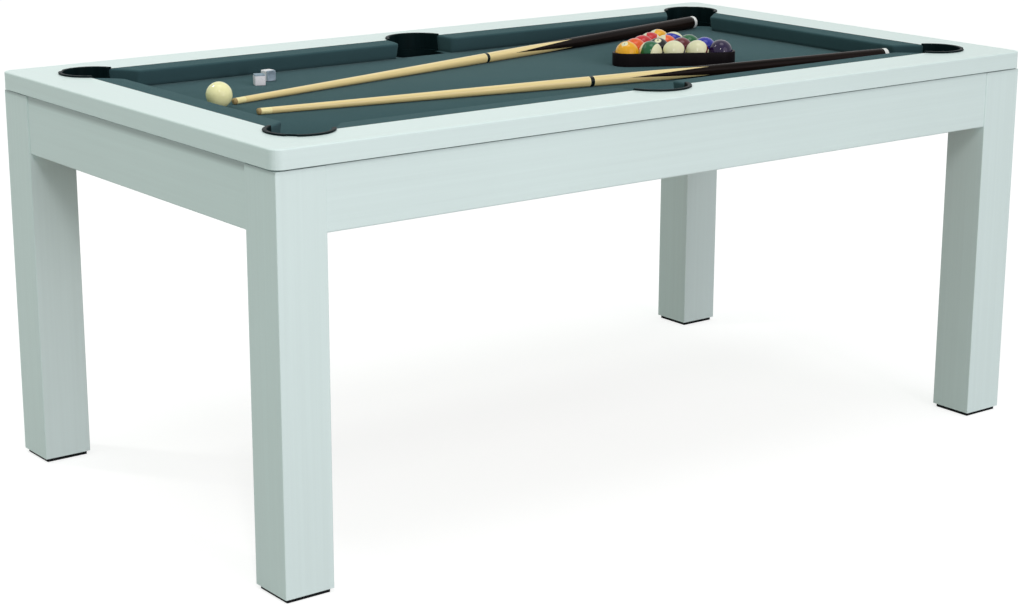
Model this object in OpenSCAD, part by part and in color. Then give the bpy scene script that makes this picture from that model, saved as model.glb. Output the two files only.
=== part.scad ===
// Dining-height pool table with drop pockets and the game set that lies on it.
// Origin: centre of the footprint at the floor. X runs along the long side, +Z is up.
// The front long side faces -Y.

/* [Overall size] */
// Length over the top rails
table_l = 1860; // [1600:10:2200]
// Width over the top rails
table_w = 1040; // [940:10:1200]
// Height of the rail top above the floor
table_h = 800; // [740:5:860]

/* [Top rails] */
// Width of the flat rail top
rail_w = 104; // [90:1:120]
// Thickness of a rail
rail_t = 35; // [32:1:45]
// Radius of the rail frame's upright outer corners
rail_corner_r = 22; // [8:1:30]
// Radius of the rail's outer top edge
rail_edge_r = 3; // [1:0.5:6]
// Dark gap between the rails and the legs and aprons
shadow_gap = 3; // [2:0.5:6]

/* [Playing bed] */
// Thickness of the bed slab
slab_t = 18; // [15:1:25]
// Thickness of the cloth
cloth_t = 1; // [0.6:0.1:2]
// Distance from the rail's outer face to the slab's edge
slab_inset = 30; // [29:1:40]
// Gap between the three sections of the slab
seam = 0.5; // [0.3:0.1:1]

/* [Cushions] */
// Width of a cushion from the rail to its nose
cushion_w = 52; // [42:1:60]
// Fall of the cushion's top from the rail to the nose
cushion_fall = 1.2; // [0.5:0.1:4]
// Radius of the nose's upper round
nose_r = 4; // [2:0.5:6]
// Height of the nose's lower round above the bed
nose_low = 23; // [16:1:26]
// Set-back of the cushion's foot behind its nose
undercut = 21; // [10:1:30]
// Widening of a corner pocket's mouth from the rail to the nose
corner_flare = 42; // [20:1:50]
// Widening of a side pocket's mouth from the rail to the nose, each side
side_flare = 6; // [3:1:20]

/* [Pockets] */
// Outer radius of a corner pocket's lip
corner_rim_r = 64; // [60:1:70]
// Distance of a corner pocket's centre from both outer faces
corner_in = 132; // [128:1:145]
// Fall line of a corner pocket, past its centre
corner_drop = 4; // [0:1:10]
// Outer radius of a side pocket's lip
side_rim_r = 71; // [64:1:74]
// Distance of a side pocket's centre from the rail's outer face
side_in = 122; // [118:1:130]
// Fall line of a side pocket, past its centre
side_drop = 21; // [12:1:26]
// Width of the moulded lip
lip_w = 8; // [6:0.5:10]
// Height of the lip above the rail
lip_h = 3.5; // [2:0.5:6]
// Width of the notch in a corner pocket's lip
notch_w = 20; // [10:1:30]
// Wall of the pocket moulding
pocket_wall = 3; // [2:0.5:4]
// Depth of the bucket below the bed
bucket_depth = 105; // [80:1:112]

/* [Legs and aprons] */
// Side of the square leg
leg_w = 100; // [80:1:110]
// Set-back of the legs from the rail's outer face
leg_inset = 4; // [1:1:12]
// Radius of the leg's long edges
leg_edge_r = 2; // [1:0.5:6]
// Side of the foot pad
foot_w = 89; // [60:1:90]
// Thickness of the foot pad
foot_t = 8; // [4:1:15]
// Height of the aprons
apron_h = 116; // [110:1:140]
// Thickness of the aprons
apron_t = 22; // [16:1:22]
// Radius of the aprons' lower outer edge
apron_edge_r = 3; // [1:0.5:6]
// Set-back of the aprons from the legs' faces
apron_inset = 2; // [0.5:0.5:4]

/* [Bed frame] */
// Width of the ledger strips inside the aprons
ledger_w = 20; // [15:1:30]
// Height of the ledger strips
ledger_h = 40; // [30:1:50]
// Number of cross beams
beam_n = 4; // [2:2:6]
// Width of a cross beam
beam_w = 36; // [24:1:50]
// Height of a cross beam
beam_h = 60; // [45:1:80]
// Depth of the lap joint between beam and ledger
lap_d = 20; // [10:1:25]
// Side of the square blocks that join legs and aprons
block_w = 30; // [24:1:40]

/* [Bolts] */
// Thread diameter of the bolts
bolt_d = 8; // [6:1:8]
// Width of the bolt head across its flats
head_flats = 13; // [10:1:13]
// Height of the bolt head
head_h = 5.5; // [4:0.5:8]
// Diameter of the washers
washer_d = 20; // [16:1:24]
// Thickness of the washers
washer_t = 2; // [1:0.5:3]
// Length of the threaded inserts
insert_l = 18; // [10:1:20]
// Depth that a bolt reaches into a rail
rail_bolt_reach = 24; // [20:1:26]
// Depth that a bolt reaches into a leg
leg_bolt_reach = 36; // [20:1:45]
// Distance from a side pocket's lip to the nearest rail bolt, along the table
side_bolt_gap = 35; // [30:1:60]
// Distance from a corner pocket's lip to the nearest rail bolt, along the rail
corner_bolt_gap = 115; // [90:1:130]

/* [Balls and rack] */
// Diameter of the balls
ball_d = 50.8; // [48:0.1:57.2]
// Gap between racked balls
ball_gap = 0.3; // [0.2:0.1:1]
// Height of the rack
rack_h = 28; // [20:1:40]
// Wall of the rack
rack_wall = 5; // [4:0.5:9]
// Room between the racked balls and the rack
rack_play = 1; // [0.6:0.1:2]
// Distance of the rack's front row from the table's right end, at its middle
rack_in = 570; // [540:5:650]
// Distance of the rack's front row from the table's middle, towards the front
rack_forward = 46; // [0:1:60]
// Turn of the rack's front row
rack_turn = -30; // [-45:1:0]
// Distance of the cue ball from the table's left end
cue_ball_in = 231; // [210:1:240]
// Distance of the cue ball from the table's middle, towards the back
cue_ball_back = 56; // [0:1:60]

/* [Cues] */
// Length of the bed between the cushions, less the length of a cue
cue_room = 90; // [80:1:200]
// Place of the joint, as a share of the cue's length from its tip
joint_place = 0.4925; // [0.46:0.0005:0.54]
// Distance of the back cue's tip from the table's left end
cue_1_in = 271; // [230:1:300]
// Distance of the back cue's tip from the table's middle, towards the back
cue_1_back = 73.5; // [60:0.5:90]
// Gap between the back cue's butt and the back cushion
cue_1_gap = 1.2; // [0.6:0.1:60]
// Distance of the front cue's tip from the table's left end
cue_2_in = 250.6; // [240:0.1:280]
// Distance of the front cue's tip from the table's middle, towards the front
cue_2_forward = 48.8; // [20:0.1:60]
// Gap between the front cue's butt and the front cushion
cue_2_gap = 57.6; // [20:0.1:90]
// Diameter at the tip
tip_d = 12.4; // [11:0.1:14]
// Diameter at the joint
joint_d = 20.8; // [19:0.1:23]
// Diameter of the butt's end
butt_d = 29.2; // [27:0.1:32]
// Length of the leather tip
tip_l = 7; // [5:0.5:10]
// Length of the ferrule
ferrule_l = 22; // [12:1:30]
// Length of the rubber bumper
bumper_l = 16; // [10:1:25]
// Length of the joint pin
pin_l = 22; // [15:1:30]
// Diameter of the joint pin
pin_d = 8; // [6:0.5:9]

/* [Chalk] */
// Side of a chalk cube
chalk_w = 22; // [20:0.5:25]
// Radius of the round worn into a chalk cube
chalk_dish_r = 14; // [12:0.5:20]

/* [Hidden] */
$fn = 96;

// Colours
WHITE = [0.87, 0.93, 0.92];
CLOTH = [0.24, 0.34, 0.37];
BLACK = [0.07, 0.08, 0.09];
RAW_WOOD = [0.72, 0.60, 0.43];
STEEL = [0.65, 0.67, 0.70];
MAPLE = [0.89, 0.78, 0.53];
EBONY = [0.10, 0.07, 0.06];
IVORY = [0.93, 0.90, 0.78];

// Clearances
fit = 0.3;         // between a piece and the cut-out that it drops into
rest_gap = 0.3;    // between a loose piece and what it lies on
turn_gap = 0.05;   // between the joint pin and its bore, on the radius
thread_gap = 0.15; // between a bolt and its insert, on the radius
bucket_gap = 1.5;  // between a bucket and the leg next to it
over = 1;          // overrun of a cutting solid

// Heights
bed_top = table_h - rail_t;
slab_top = bed_top - cloth_t;
slab_bottom = slab_top - slab_t;
leg_top = bed_top - shadow_gap;
apron_bottom = leg_top - apron_h;
ledger_bottom = slab_bottom - ledger_h;
lie_z = bed_top + rest_gap;
bucket_room = bucket_depth + pocket_wall + bucket_gap; // height of a leg's scoop

// Distances from the rail's outer face
half_l = table_l / 2;
half_w = table_w / 2;
leg_inner = leg_inset + leg_w;
apron_face = leg_inset + apron_inset;
apron_inner = apron_face + apron_t;
nose_in = rail_w + cushion_w;
ledger_inner = apron_inner + ledger_w;
bolt_in = ledger_inner + washer_d / 2 + 8;

// Pocket radii that follow from the lip
function wall_r(rim) = rim - lip_w + pocket_wall;   // outside of the upright wall
function cut_r(rim) = wall_r(rim) + fit;            // cut-out in the rails
function throat_r(rim) = rim - lip_w - 6;           // inside of the bucket
function jaw_back(rim, inward) =                    // where the cut-out meets the cushions
    sqrt(pow(cut_r(rim), 2) - pow(inward - rail_w, 2)) + 1;
corner_jaw = corner_in + jaw_back(corner_rim_r, corner_in);
side_jaw = jaw_back(side_rim_r, side_in);

// Places of the beams and of the rail bolts, as distances from the table's centre
beam_pitch = (table_l - 2 * ledger_inner) / (beam_n + 1);
beam_x = [for (i = [0 : beam_n - 1]) (i - (beam_n - 1) / 2) * beam_pitch];
bolt_x_near = side_rim_r + side_bolt_gap;
bolt_x_far = half_l - corner_in - corner_rim_r - corner_bolt_gap;
long_bolts = [bolt_x_near, (bolt_x_near + bolt_x_far) / 2, bolt_x_far];
short_bolts = [0, half_w - corner_in - corner_rim_r - corner_bolt_gap];

// Rows of balls, from the front row of five to the single ball at the apex
ball_r = ball_d / 2;
ball_pitch = ball_d + ball_gap;
row_pitch = ball_pitch * sqrt(3) / 2;
// Balls as [row, place in the row]
SOLIDS = [[0, 0], [0, 4], [1, 0], [1, 1], [1, 2], [1, 3], [2, 0], [2, 2]];
STRIPES = [[0, 1], [0, 2], [0, 3], [2, 1], [3, 0], [3, 1], [4, 0]];

// Cues: sideways reach from the tip to the butt's end, and places as [tip x, tip y, turn about Z]
cue_l = table_l - 2 * nose_in - cue_room;
shaft_l = cue_l * joint_place;
cue_tilt = atan((butt_d - tip_d) / 2 / (cue_l - bumper_l));
butt_reach = half_w - nose_in - butt_d / 2;
CUE_1 = [cue_1_in - half_l, cue_1_back, asin((butt_reach - cue_1_gap - cue_1_back) / cue_l)];
CUE_2 = [cue_2_in - half_l, -cue_2_forward, -asin((butt_reach - cue_2_gap - cue_2_forward) / cue_l)];
// Chalk cubes as [distance from the left end, distance from the back, turn, tilt onto a side]
CHALK_1 = [434, 273, -20, 0];
CHALK_2 = [476, 239, 5, 90];

// Puts children, drawn inwards from an outer corner, at the corner with signs sx and sy
module at_corner(sx, sy)
    translate([sx * half_l, sy * half_w, 0])
        mirror([sx > 0 ? 1 : 0, 0, 0])
            mirror([0, sy > 0 ? 1 : 0, 0])
                children();

// Puts children, drawn on the front side, on the front (-1) or the back (1)
module on_long_side(sy)
    mirror([0, sy > 0 ? 1 : 0, 0])
        translate([0, -half_w, 0])
            children();

// Puts children, drawn along a front side of the table's width, on the left or right
module on_short_side(sx)
    mirror([sx > 0 ? 1 : 0, 0, 0])
        rotate([0, 0, -90])
            translate([0, -half_l, 0])
                children();

// Square with true round corners
module rounded_square(w, r) {
    square([w, w - 2 * r], center = true);
    square([w - 2 * r, w], center = true);
    for (x = [-1, 1], y = [-1, 1])
        translate([x * (w / 2 - r), y * (w / 2 - r)])
            circle(r);
}

// Section of a rail, outer face at x = 0, with its top edge rounded
module rail_section(w) {
    translate([rail_edge_r, 0])
        square([w - rail_edge_r, rail_t]);
    square([rail_edge_r + over, rail_t - rail_edge_r]);
    translate([rail_edge_r, rail_t - rail_edge_r])
        circle(rail_edge_r);
}

// Hole for a bolt and its insert, from the underside of a rail at z = 0
module insert_hole(reach) {
    translate([0, 0, -over])
        cylinder(d = bolt_d + 4 + 2 * turn_gap, h = insert_l + over);
    cylinder(d = bolt_d + 1, h = reach + 2);
}

// One rail with mitred ends, drawn along X with its outer face at y = 0
module top_rail(length, bolts) {
    half = length / 2;
    translate([0, 0, bed_top])
        difference() {
            union() {
                translate([-half + rail_corner_r, 0, 0])
                    rotate([90, 0, 90])
                        linear_extrude(length - 2 * rail_corner_r)
                            rail_section(rail_w);
                for (s = [-1, 1])
                    mirror([s > 0 ? 1 : 0, 0, 0])
                        translate([-half + rail_corner_r, rail_corner_r, 0])
                            rotate([0, 0, 180])
                                rotate_extrude(angle = 90)
                                    translate([rail_corner_r, 0])
                                        mirror([1, 0])
                                            rail_section(rail_corner_r);
            }
            for (s = [-1, 1])
                mirror([s > 0 ? 1 : 0, 0, 0])
                    translate([-half, 0, -over])
                        linear_extrude(rail_t + 2 * over)
                            polygon([
                                [-over, -over],
                                [rail_w + over, rail_w + over],
                                [-over, rail_w + over]
                            ]);
            for (s = [-1, 1])
                translate([s * (half - corner_in), corner_in, -over])
                    cylinder(r = cut_r(corner_rim_r), h = rail_t + 2 * over);
            for (x = bolts, s = [-1, 1])
                translate([s * x, bolt_in, 0])
                    insert_hole(rail_bolt_reach);
        }
}

// A long rail also has the side pocket's cut-out
module long_rail(sy)
    color(WHITE)
        on_long_side(sy)
            difference() {
                top_rail(table_l, long_bolts);
                translate([0, side_in, bed_top - over])
                    cylinder(r = cut_r(side_rim_r), h = rail_t + 2 * over);
            }

module short_rail(sx)
    color(WHITE)
        on_short_side(sx)
            top_rail(table_w, short_bolts);

// Section of a cushion: flat back on the rail, round nose, undercut foot
module cushion_section() {
    nose_high = rail_t - cushion_fall - nose_r;
    low_r = 3;
    foot = 0.3;
    union() {
        polygon([
            [0, foot],
            [cushion_w - undercut, foot],
            [cushion_w - low_r + low_r * cos(38), nose_low - low_r * sin(38)],
            [cushion_w, nose_low],
            [cushion_w, nose_high],
            [cushion_w - nose_r, nose_high + nose_r],
            [0, rail_t - 0.2]
        ]);
        translate([cushion_w - nose_r, nose_high])
            circle(nose_r);
        translate([cushion_w - low_r, nose_low])
            circle(low_r);
    }
}

// Cushion on a front side, between two jaws. Each jaw is [place at the rail, flare].
module cushion(jaw_a, jaw_b)
    color(CLOTH)
        translate([0, rail_w, bed_top])
            intersection() {
                translate([jaw_a[0], 0, 0])
                    rotate([90, 0, 90])
                        linear_extrude(jaw_b[0] - jaw_a[0])
                            cushion_section();
                linear_extrude(rail_t)
                    polygon([
                        [jaw_a[0], 0],
                        [jaw_b[0], 0],
                        [jaw_b[0] - jaw_b[1], cushion_w],
                        [jaw_a[0] + jaw_a[1], cushion_w]
                    ]);
            }

// A long cushion runs from a side pocket to a corner pocket
module long_cushion(sx, sy)
    on_long_side(sy)
        mirror([sx > 0 ? 0 : 1, 0, 0])
            cushion([side_jaw, side_flare], [half_l - corner_jaw, corner_flare]);

module short_cushion(sx)
    on_short_side(sx)
        cushion([-half_w + corner_jaw, corner_flare], [half_w - corner_jaw, corner_flare]);

// Outline of a bucket: a circle cut straight at the fall line, which lies towards +Y
module bucket_outline(r, drop)
    intersection() {
        circle(r);
        translate([-r, -r])
            square([2 * r, r + drop]);
    }

// Half section of the lip, the upright wall and the shelf that lies on the bed
module rim_section(rim) {
    bead_r = lip_h / 2;
    lip_in = rim - lip_w;
    translate([lip_in + bead_r, rail_t])
        square([lip_w - 2 * bead_r, lip_h]);
    for (x = [lip_in + bead_r, rim - bead_r])
        translate([x, rail_t + bead_r])
            circle(bead_r);
    translate([lip_in, 0])
        square([pocket_wall, rail_t + bead_r]);
    translate([throat_r(rim), 0])
        square([wall_r(rim) - throat_r(rim), pocket_wall]);
}

// Moulded pocket around its own centre, with the table's middle towards +Y.
// The first child is the zone that the rails cover, the second, if any, a notch in the lip.
module pocket(rim, drop)
    color(BLACK)
        difference() {
            union() {
                translate([0, 0, bed_top])
                    intersection() {
                        rotate_extrude()
                            rim_section(rim);
                        linear_extrude(rail_t + lip_h + over)
                            children(0);
                    }
                translate([0, 0, bed_top - bucket_depth - pocket_wall])
                    linear_extrude(bucket_depth + pocket_wall)
                        bucket_outline(throat_r(rim) + pocket_wall, drop + pocket_wall);
            }
            translate([0, 0, bed_top - bucket_depth])
                linear_extrude(bucket_depth + rail_t)
                    bucket_outline(throat_r(rim), drop);
            if ($children > 1)
                translate([0, 0, table_h])
                    linear_extrude(lip_h + over)
                        children(1);
        }

module corner_pocket(sx, sy) {
    zone = 3 * corner_rim_r;
    edge = rail_w + 2 - corner_in;
    at_corner(sx, sy)
        translate([corner_in, corner_in, 0])
            rotate([0, 0, -45])
                pocket(corner_rim_r, corner_drop) {
                    rotate([0, 0, 45]) {
                        translate([edge - zone, -zone])
                            square([zone, 2 * zone]);
                        translate([-zone, edge - zone])
                            square([2 * zone, zone]);
                    }
                    translate([-notch_w / 2, -corner_rim_r - over])
                        square([notch_w, lip_w - pocket_wall - 0.5 + over]);
                }
}

module side_pocket(sy) {
    zone = 3 * side_rim_r;
    edge = rail_w + 2 - side_in;
    on_long_side(sy)
        translate([0, side_in, 0])
            pocket(side_rim_r, side_drop)
                translate([-zone, edge - zone])
                    square([2 * zone, zone]);
}

// Corner of the bed cut away for a leg and a pocket, up to the pocket's fall line
module corner_cut() {
    r = throat_r(corner_rim_r) + pocket_wall + fit;
    drop = corner_drop + pocket_wall + fit;
    half_chord = sqrt(r * r - drop * drop);
    wide = corner_in + (drop + half_chord) / sqrt(2);
    narrow = corner_in + (drop - half_chord) / sqrt(2);
    polygon([[-over, -over], [wide, -over], [wide, narrow], [narrow, wide], [-over, wide]]);
}

// Slot in the bed's long edge for a side pocket, drawn around the pocket's centre
module side_cut() {
    r = throat_r(side_rim_r) + pocket_wall + fit;
    bucket_outline(r, side_drop + pocket_wall + fit);
    translate([-r, -side_in])
        square([2 * r, side_in]);
}

// Plan of the bed with its pocket cut-outs and bolt holes
module bed_plan(inset) {
    hole = bolt_d / 2 + 0.5;
    difference() {
        square([table_l - 2 * inset, table_w - 2 * inset], center = true);
        for (sx = [-1, 1], sy = [-1, 1])
            at_corner(sx, sy)
                corner_cut();
        for (sy = [-1, 1])
            on_long_side(sy) {
                translate([0, side_in])
                    side_cut();
                for (x = long_bolts, s = [-1, 1])
                    translate([s * x, bolt_in])
                        circle(hole);
            }
        for (sx = [-1, 1])
            on_short_side(sx)
                for (x = short_bolts, s = [-1, 1])
                    translate([s * x, bolt_in])
                        circle(hole);
    }
}

// Section of the slab between two places along the table. Its seams lie on the outer beams.
module bed_slab(from, to)
    color(RAW_WOOD)
        translate([0, 0, slab_bottom])
            linear_extrude(slab_t)
                intersection() {
                    bed_plan(slab_inset);
                    translate([from, -half_w])
                        square([to - from, table_w]);
                }

module bed_cloth()
    color(CLOTH)
        translate([0, 0, slab_top])
            linear_extrude(cloth_t)
                bed_plan(slab_inset + 4);

// Board with its lower outer edge rounded, drawn along X with its outer face at y = 0
module apron(length)
    color(WHITE)
        translate([-length / 2, apron_face, apron_bottom])
            rotate([90, 0, 90])
                linear_extrude(length) {
                    translate([apron_edge_r, 0])
                        square([apron_t - apron_edge_r, apron_h]);
                    translate([0, apron_edge_r])
                        square([apron_edge_r + over, apron_h - apron_edge_r]);
                    translate([apron_edge_r, apron_edge_r])
                        circle(apron_edge_r);
                }

module long_apron(sy)
    on_long_side(sy)
        apron(table_l - 2 * leg_inner);

module short_apron(sx)
    on_short_side(sx)
        apron(table_w - 2 * leg_inner);

// Places of the two bolts of a block, as heights above the apron's bottom edge
block_h = ledger_bottom - apron_bottom - 2;
block_z = apron_bottom + 2;
block_bolts = [block_z + block_h * 0.28, block_z + block_h * 0.72];
block_mid = apron_inner + block_w / 2;

// Hole for a leg bolt, from the leg's inner face along -X
module leg_hole()
    rotate([0, -90, 0])
        translate([0, 0, -over])
            cylinder(d = bolt_d + 1, h = leg_bolt_reach + 2 + over);

// Mirrors children over the diagonal of a corner
module both_ways() {
    children();
    mirror([1, -1, 0])
        children();
}

// Leg with its inner corner scooped out around the pocket's bucket
module leg(sx, sy)
    color(WHITE)
        at_corner(sx, sy)
            difference() {
                translate([leg_inset + leg_w / 2, leg_inset + leg_w / 2, foot_t])
                    linear_extrude(leg_top - foot_t)
                        rounded_square(leg_w, leg_edge_r);
                translate([corner_in, corner_in, bed_top - bucket_room])
                    cylinder(r = throat_r(corner_rim_r) + pocket_wall + bucket_gap, h = bucket_room);
                both_ways()
                    for (z = block_bolts)
                        translate([leg_inner, block_mid, z])
                            leg_hole();
            }

module foot(sx, sy)
    color(BLACK)
        at_corner(sx, sy)
            translate([leg_inset + leg_w / 2, leg_inset + leg_w / 2, 0])
                linear_extrude(foot_t)
                    rounded_square(foot_w, leg_edge_r);

// Two blocks per leg, one on each apron, bored for the leg bolts
module leg_blocks()
    color(RAW_WOOD)
        for (sx = [-1, 1], sy = [-1, 1])
            at_corner(sx, sy)
                both_ways()
                    difference() {
                        translate([leg_inner, apron_inner, block_z])
                            cube([block_w, block_w, block_h]);
                        for (z = block_bolts)
                            translate([leg_inner - over, block_mid, z])
                                rotate([0, 90, 0])
                                    cylinder(d = bolt_d + 2 * fit, h = block_w + 2 * over);
                    }

// Hexagon bolt with its washer. The washer's seat is at z = 0 and the shank runs along +Z.
module bolt(grip) {
    cylinder(d = bolt_d, h = grip);
    translate([0, 0, -washer_t])
        cylinder(d = washer_d, h = washer_t);
    translate([0, 0, -washer_t - head_h])
        cylinder(d = head_flats / cos(30), h = head_h, $fn = 6);
}

module leg_bolts()
    color(STEEL)
        for (sx = [-1, 1], sy = [-1, 1])
            at_corner(sx, sy)
                both_ways()
                    for (z = block_bolts)
                        translate([leg_inner + block_w, block_mid, z])
                            rotate([0, -90, 0])
                                bolt(block_w + leg_bolt_reach);

// Runs children at every rail bolt, on the underside of the rails
module at_rail_bolts() {
    for (sy = [-1, 1])
        on_long_side(sy)
            for (x = long_bolts, s = [-1, 1])
                translate([s * x, bolt_in, bed_top])
                    children();
    for (sx = [-1, 1])
        on_short_side(sx)
            for (x = [-short_bolts[1], short_bolts[0], short_bolts[1]])
                translate([x, bolt_in, bed_top])
                    children();
}

module rail_bolts()
    color(STEEL)
        at_rail_bolts()
            translate([0, 0, slab_bottom - bed_top])
                bolt(bed_top - slab_bottom + rail_bolt_reach);

module rail_inserts()
    color(STEEL)
        at_rail_bolts()
            difference() {
                cylinder(d = bolt_d + 4, h = insert_l);
                translate([0, 0, -over])
                    cylinder(d = bolt_d + 2 * thread_gap, h = insert_l + 2 * over);
            }

// Ledger strip inside an apron, with laps for the beams that cross it
module ledger(length, laps)
    color(RAW_WOOD)
        difference() {
            translate([-length / 2, apron_inner, ledger_bottom])
                cube([length, ledger_w, ledger_h]);
            for (x = laps)
                translate([x - beam_w / 2 - fit, apron_inner - over, slab_bottom - lap_d])
                    cube([beam_w + 2 * fit, ledger_w + 2 * over, lap_d + over]);
        }

module long_ledger(sy)
    on_long_side(sy)
        ledger(table_l - 2 * leg_inner, beam_x);

module short_ledger(sx)
    on_short_side(sx)
        ledger(table_w - 2 * leg_inner, []);

// Cross beam: its ends are lapped onto the long ledgers
module cross_beam(i)
    color(RAW_WOOD)
        translate([beam_x[i] - beam_w / 2, 0, 0]) {
            reach = half_w - ledger_inner - fit;
            translate([0, -reach, slab_bottom - beam_h])
                cube([beam_w, 2 * reach, beam_h]);
            translate([0, -half_w + apron_inner + fit, slab_bottom - lap_d])
                cube([beam_w, 2 * (half_w - apron_inner - fit), lap_d]);
        }

// Puts a cue, drawn along +X from its tip on its own axis, on the bed
module lay_cue(place)
    translate([place[0], place[1], lie_z + tip_d / 2])
        rotate([0, -cue_tilt, place[2]])
            children();

// Solid of revolution along +X. Points are [distance from the tip, radius].
module turned(points)
    rotate([0, 90, 0])
        rotate_extrude()
            polygon(concat([[0, points[0][0]]],
                           [for (p = points) [p[1], p[0]]],
                           [[0, points[len(points) - 1][0]]]));

ferrule_end = tip_l + ferrule_l;
function shaft_r(x) = (tip_d + (joint_d - tip_d) * pow(x / shaft_l, 1.2)) / 2;
function butt_r(x) = (joint_d + (butt_d - joint_d) * (x - shaft_l) / (cue_l - bumper_l - shaft_l)) / 2;

module cue_tip(place)
    color("saddlebrown")
        lay_cue(place)
            turned([[0, tip_d / 2 - 2.2], [0.8, tip_d / 2 - 1], [2, tip_d / 2 - 0.3], [tip_l, tip_d / 2]]);

module cue_ferrule(place)
    color(IVORY)
        lay_cue(place)
            turned([[tip_l, tip_d / 2], [ferrule_end, shaft_r(ferrule_end)]]);

module cue_shaft(place)
    color(MAPLE)
        lay_cue(place)
            difference() {
                turned([for (i = [0 : 6])
                    let (x = ferrule_end + (shaft_l - ferrule_end) * i / 6)
                    [x, shaft_r(x)]]);
                translate([shaft_l - pin_l - 1, 0, 0])
                    rotate([0, 90, 0])
                        cylinder(d = pin_d + 2 * turn_gap, h = pin_l + 1 + over);
            }

module cue_butt(place)
    color(EBONY)
        lay_cue(place) {
            turned([
                [shaft_l + fit, joint_d / 2],
                [shaft_l + 26, butt_r(shaft_l + 26)],
                [cue_l - bumper_l, butt_d / 2]
            ]);
            translate([shaft_l + fit - pin_l, 0, 0])
                rotate([0, 90, 0])
                    cylinder(d = pin_d, h = pin_l + over);
        }

module cue_bumper(place)
    color(BLACK)
        lay_cue(place)
            turned([
                [cue_l - bumper_l, butt_d / 2 - 1],
                [cue_l - 5, butt_d / 2 - 1.5],
                [cue_l - 1.5, butt_d / 2 - 4],
                [cue_l, butt_d / 2 - 8]
            ]);

// Puts children at a ball's place in the rack, with the ball's centre at the origin
module at_ball(spot)
    translate([half_l - rack_in, -rack_forward, lie_z + ball_r])
        rotate([0, 0, rack_turn])
            translate([(spot[1] - (4 - spot[0]) / 2) * ball_pitch, spot[0] * row_pitch, 0])
                children();

module balls(spots)
    for (spot = spots)
        at_ball(spot)
            sphere(r = ball_r);

module solid_balls()
    color("firebrick")
        balls(SOLIDS);

module striped_balls()
    color("gold")
        balls(STRIPES);

module cue_ball()
    color(IVORY)
        translate([cue_ball_in - half_l, cue_ball_back, lie_z + ball_r])
            sphere(r = ball_r);

// Triangular frame around the racked balls, with round corners
module rack() {
    middles = [[-2 * ball_pitch, 0], [2 * ball_pitch, 0], [0, 4 * row_pitch]];
    inner = ball_r + rack_play;
    color(BLACK)
        translate([half_l - rack_in, -rack_forward, lie_z])
            rotate([0, 0, rack_turn])
                linear_extrude(rack_h)
                    difference() {
                        offset(r = inner + rack_wall, $fn = 48)
                            polygon(middles);
                        offset(r = inner, $fn = 48)
                            polygon(middles);
                    }
}

// Chalk cube with a round worn into one face, which is its top unless it is tilted
module chalk(place)
    color("lightsteelblue")
        translate([place[0] - half_l, half_w - place[1], lie_z + chalk_w / 2])
            rotate([place[3], 0, place[2]])
                difference() {
                    cube(chalk_w, center = true);
                    translate([0, 0, chalk_w / 2 + chalk_dish_r - 4])
                        sphere(r = chalk_dish_r);
                }

long_rail(-1);  // front_rail
long_rail(1);  // back_rail
short_rail(-1);  // left_rail
short_rail(1);  // right_rail
long_cushion(-1, -1);  // cushion_front_left
long_cushion(1, -1);  // cushion_front_right
long_cushion(-1, 1);  // cushion_back_left
long_cushion(1, 1);  // cushion_back_right
short_cushion(-1);  // cushion_left
short_cushion(1);  // cushion_right
corner_pocket(-1, -1);  // pocket_front_left
corner_pocket(1, -1);  // pocket_front_right
corner_pocket(-1, 1);  // pocket_back_left
corner_pocket(1, 1);  // pocket_back_right
side_pocket(-1);  // pocket_front_side
side_pocket(1);  // pocket_back_side
bed_slab(-half_l, beam_x[0] - seam / 2);  // bed_slab_left
bed_slab(beam_x[0] + seam / 2, -beam_x[0] - seam / 2);  // bed_slab_middle
bed_slab(-beam_x[0] + seam / 2, half_l);  // bed_slab_right
bed_cloth();
long_apron(-1);  // front_apron
long_apron(1);  // back_apron
short_apron(-1);  // left_apron
short_apron(1);  // right_apron
leg(-1, -1);  // leg_front_left
leg(1, -1);  // leg_front_right
leg(-1, 1);  // leg_back_left
leg(1, 1);  // leg_back_right
foot(-1, -1);  // foot_front_left
foot(1, -1);  // foot_front_right
foot(-1, 1);  // foot_back_left
foot(1, 1);  // foot_back_right
long_ledger(-1);  // front_ledger
long_ledger(1);  // back_ledger
short_ledger(-1);  // left_ledger
short_ledger(1);  // right_ledger
cross_beam(0);  // cross_beam_1
cross_beam(1);  // cross_beam_2
cross_beam(2);  // cross_beam_3
cross_beam(3);  // cross_beam_4
leg_blocks();
leg_bolts();
rail_bolts();
rail_inserts();
cue_tip(CUE_1);  // cue_1_tip
cue_ferrule(CUE_1);  // cue_1_ferrule
cue_shaft(CUE_1);  // cue_1_shaft
cue_butt(CUE_1);  // cue_1_butt
cue_bumper(CUE_1);  // cue_1_bumper
cue_tip(CUE_2);  // cue_2_tip
cue_ferrule(CUE_2);  // cue_2_ferrule
cue_shaft(CUE_2);  // cue_2_shaft
cue_butt(CUE_2);  // cue_2_butt
cue_bumper(CUE_2);  // cue_2_bumper
rack();
cue_ball();
solid_balls();
striped_balls();
chalk(CHALK_1);  // chalk_1
chalk(CHALK_2);  // chalk_2
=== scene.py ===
import math

import bmesh
import bpy
from mathutils import Matrix, Vector
from mathutils.geometry import tessellate_polygon


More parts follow.
